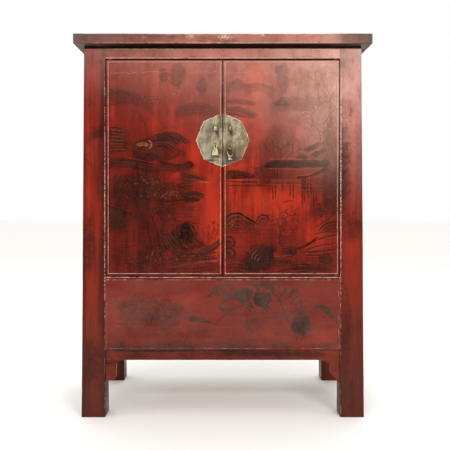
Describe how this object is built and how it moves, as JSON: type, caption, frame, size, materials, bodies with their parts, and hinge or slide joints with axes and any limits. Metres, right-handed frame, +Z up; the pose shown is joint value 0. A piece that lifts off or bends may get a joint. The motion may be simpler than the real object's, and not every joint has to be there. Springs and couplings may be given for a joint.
{
  "type": "chinese wedding cabinet",
  "caption": "Tall two-door lacquered wooden cabinet on splayed legs, with a round lobed lock plate, hanging pulls, inner drawers and a hidden compartment under lift-out lids.",
  "frame": {"origin": "on the floor under the middle of the cabinet", "axes": "+X to the cabinet's right seen from the front, doors face -Y, +Z up"},
  "size_m": [1.1, 0.54, 1.42],
  "materials": {
    "red_lacquer": "aged gloss lacquer",
    "painted_lacquer": "aged gloss lacquer with faded painting",
    "side_lacquer": "thin dull lacquer",
    "drawer_lacquer": "satin lacquer",
    "bare_wood": "bare, dry",
    "plate_brass": "aged, patinated",
    "staple_brass": "aged",
    "pull_brass": "worn bright"
  },
  "bodies": {
    "carcass": {"top_board": "red_lacquer", "top_end_left": "red_lacquer", "top_end_right": "red_lacquer", "post_front_left": "red_lacquer", "post_front_right": "red_lacquer", "post_rear_left": "side_lacquer", "post_rear_right": "side_lacquer", "top_rail_front": "red_lacquer", "top_rail_rear": "side_lacquer", "top_rail_left": "side_lacquer", "top_rail_right": "side_lacquer", "door_sill_rail": "red_lacquer", "side_mid_rail_left": "side_lacquer", "side_mid_rail_right": "side_lacquer", "bottom_rail_front": "bare_wood", "bottom_rail_rear": "side_lacquer", "bottom_rail_left": "side_lacquer", "bottom_rail_right": "side_lacquer", "lower_front_panel": "painted_lacquer", "apron_front": "red_lacquer", "spandrel_left": "red_lacquer", "spandrel_right": "red_lacquer", "side_panel_left_upper": "side_lacquer", "side_panel_right_upper": "side_lacquer", "side_panel_left_lower": "side_lacquer", "side_panel_right_lower": "side_lacquer", "back_boards": "bare_wood", "back_battens": "bare_wood", "bottom_boards": "bare_wood", "floor_bearer": "bare_wood", "shelf_board": "bare_wood", "drawer_floor": "bare_wood", "drawer_divider": "bare_wood", "shelf_bearers": "bare_wood", "drawer_cheeks": "bare_wood"},
    "door_left": {"door_left_hinge_stile": "painted_lacquer", "door_left_meeting_stile": "painted_lacquer", "door_left_rails": "painted_lacquer", "door_left_panel": "painted_lacquer", "lock_plate_left": "plate_brass", "door_left_staples": "staple_brass"},
    "door_left_pull": {"door_left_pull": "pull_brass"},
    "drawer_left": {"drawer_left_front": "drawer_lacquer", "drawer_left_box": "bare_wood", "drawer_left_staple": "staple_brass"},
    "drawer_left_pull": {"drawer_left_pull": "pull_brass"},
    "lid_left": {"compartment_lid_left": "bare_wood"},
    "door_right": {"door_right_hinge_stile": "painted_lacquer", "door_right_meeting_stile": "painted_lacquer", "door_right_rails": "painted_lacquer", "door_right_panel": "painted_lacquer", "lock_plate_right": "plate_brass", "door_right_staples": "staple_brass"},
    "door_right_pull": {"door_right_pull": "pull_brass"},
    "drawer_right": {"drawer_right_front": "drawer_lacquer", "drawer_right_box": "bare_wood", "drawer_right_staple": "staple_brass"},
    "drawer_right_pull": {"drawer_right_pull": "pull_brass"},
    "lid_right": {"compartment_lid_right": "bare_wood"}
  },
  "joints": [
    {"name": "door_left_swing", "type": "hinge", "parent": "carcass", "child": "door_left", "pos_m": [-0.422, -0.225, 0.9], "axis": [0, 0, -1], "range_deg": [0, 98]},
    {"name": "door_right_swing", "type": "hinge", "parent": "carcass", "child": "door_right", "pos_m": [0.422, -0.225, 0.9], "axis": [0, 0, 1], "range_deg": [0, 98]},
    {"name": "door_left_pull_swing", "type": "hinge", "parent": "door_left", "child": "door_left_pull", "pos_m": [-0.0275, -0.2422, 1.013], "axis": [-1, 0, 0], "range_deg": [0, 120]},
    {"name": "door_right_pull_swing", "type": "hinge", "parent": "door_right", "child": "door_right_pull", "pos_m": [0.0275, -0.2422, 1.013], "axis": [-1, 0, 0], "range_deg": [0, 120]},
    {"name": "drawer_left_slide", "type": "slide", "parent": "carcass", "child": "drawer_left", "axis": [0, -1, 0], "range_m": [0, 0.197]},
    {"name": "drawer_right_slide", "type": "slide", "parent": "carcass", "child": "drawer_right", "axis": [0, -1, 0], "range_m": [0, 0.197]},
    {"name": "drawer_left_pull_swing", "type": "hinge", "parent": "drawer_left", "child": "drawer_left_pull", "pos_m": [-0.196, -0.1462, 0.95725], "axis": [-1, 0, 0], "range_deg": [0, 100]},
    {"name": "drawer_right_pull_swing", "type": "hinge", "parent": "drawer_right", "child": "drawer_right_pull", "pos_m": [0.196, -0.1462, 0.95725], "axis": [-1, 0, 0], "range_deg": [0, 100]},
    {"name": "lid_left_lift", "type": "slide", "parent": "carcass", "child": "lid_left", "axis": [0, 0, 1], "range_m": [0, 0.25]},
    {"name": "lid_right_lift", "type": "slide", "parent": "carcass", "child": "lid_right", "axis": [0, 0, 1], "range_m": [0, 0.25]}
  ],
  "couplings": [
    {"joint": "drawer_left_slide", "follows": "door_left_swing", "m_per_rad": 0.115},
    {"joint": "drawer_right_slide", "follows": "door_right_swing", "m_per_rad": 0.115}
  ]
}
